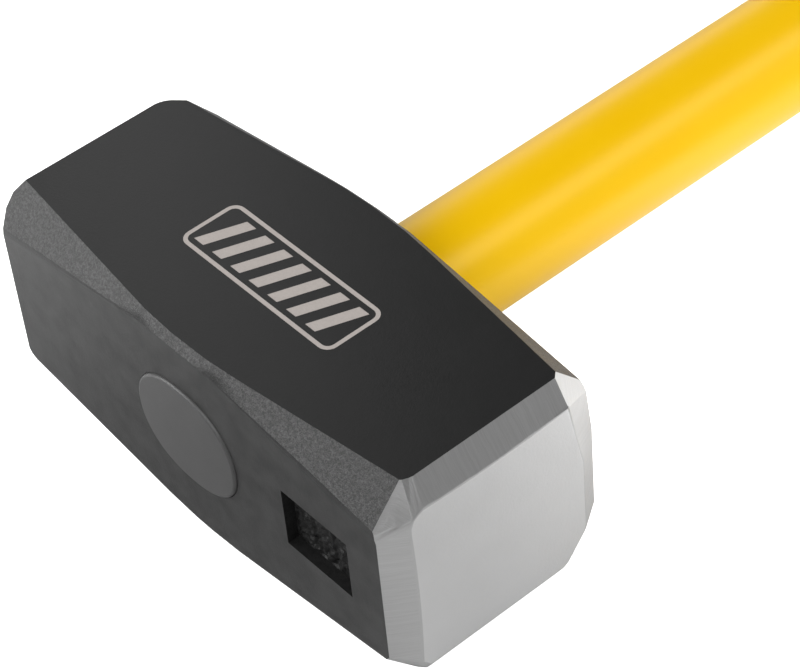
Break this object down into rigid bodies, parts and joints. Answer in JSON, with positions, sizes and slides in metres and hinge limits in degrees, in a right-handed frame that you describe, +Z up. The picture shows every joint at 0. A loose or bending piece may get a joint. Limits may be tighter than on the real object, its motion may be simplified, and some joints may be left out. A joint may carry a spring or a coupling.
{
  "type": "sledgehammer",
  "caption": "Double-faced sledgehammer lying on its cheek: a square forged head with widening corner chamfers and crowned faces on a round jacketed fibreglass handle with a rubber grip.",
  "frame": {"origin": "middle of the head's lower cheek, the face that the head lies on", "axes": "+X along the strike axis towards the striking face beside the stamped recess, +Y along the handle from the head to the butt, +Z up through the head from the lower cheek to the upper one"},
  "size_m": [0.1474, 0.7038, 0.063],
  "materials": {
    "head_paint": "satin black paint on forged steel, striking faces and bevels ground bare",
    "ground_steel": "bare steel",
    "plug_grey": "smooth satin grey",
    "resin": "cured resin",
    "fibreglass": "pultruded fibreglass, lightly polished",
    "jacket_yellow": "moulded polypropylene, satin gloss",
    "collar_black": "matt black rubber",
    "grip_black": "matt black rubber",
    "cap_black": "fine-textured black plastic"
  },
  "bodies": {
    "root": {"head": "head_paint", "eye_plug": "plug_grey", "eye_bond": "resin", "core_rod": "fibreglass", "jacket": "jacket_yellow", "neck_collar": "collar_black", "grip": "grip_black", "butt_cap": "cap_black"}
  },
  "joints": []
}
